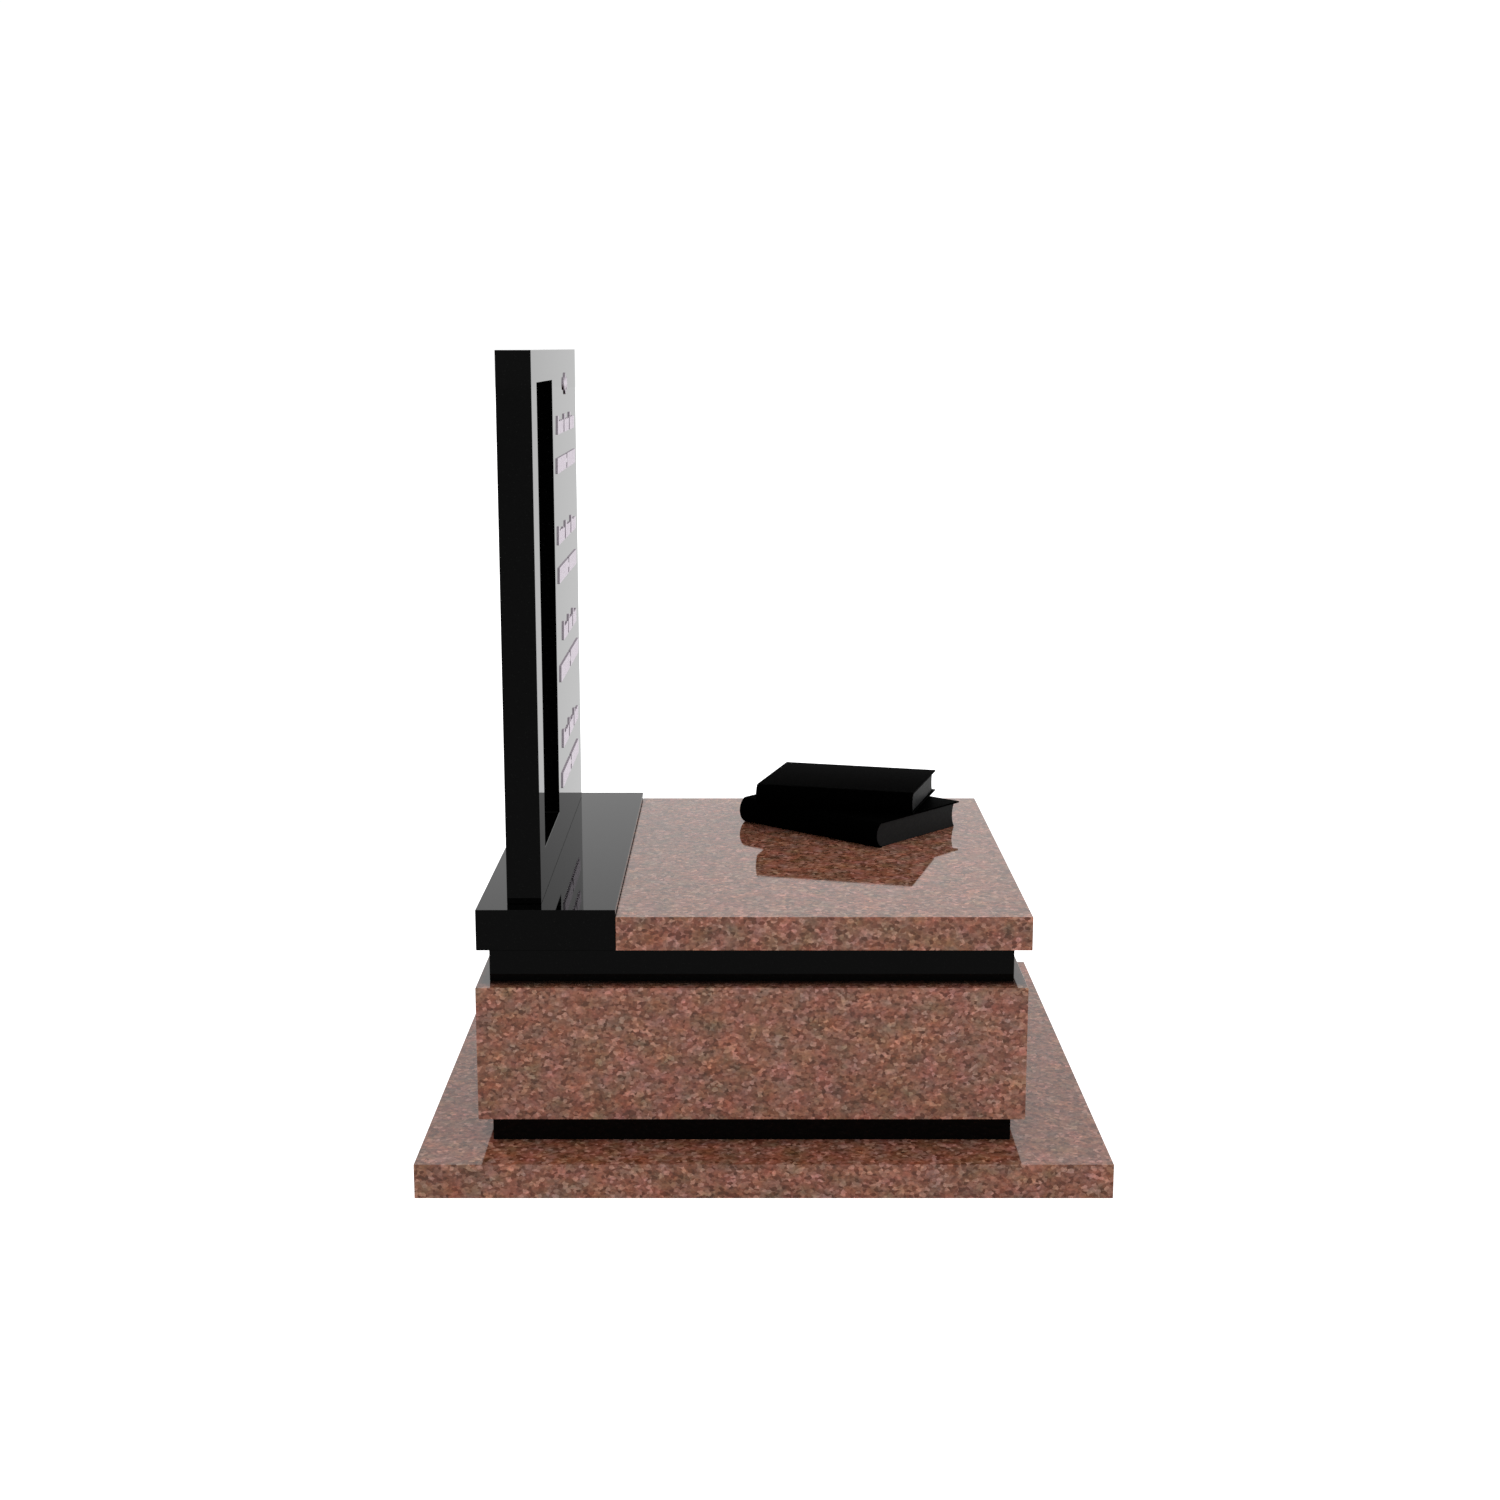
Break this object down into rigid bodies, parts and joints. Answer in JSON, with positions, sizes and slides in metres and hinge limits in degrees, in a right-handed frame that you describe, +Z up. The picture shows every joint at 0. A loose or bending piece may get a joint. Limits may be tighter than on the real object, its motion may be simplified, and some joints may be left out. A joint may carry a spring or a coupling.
{
  "type": "urn grave memorial",
  "caption": "Polished granite urn grave memorial: stepped hollow chest on a plate, cover slab, windowed upright headstone on a header block, two carved stone books.",
  "frame": {"origin": "middle of the base plate's underside", "axes": "+Z up; -Y towards the inscribed front of the headstone; +X to the right as seen from the front"},
  "size_m": [1, 1, 1.1925],
  "materials": {
    "red_granite": "polished",
    "black_granite": "polished",
    "metal_lettering": "satin"
  },
  "bodies": {
    "root": {"base_plate": "red_granite", "lower_plinth": "black_granite", "chest": "red_granite", "upper_plinth": "black_granite", "header_block": "black_granite", "cover_slab": "red_granite", "headstone": "black_granite", "lower_book": "black_granite", "upper_book": "black_granite"}
  },
  "joints": []
}
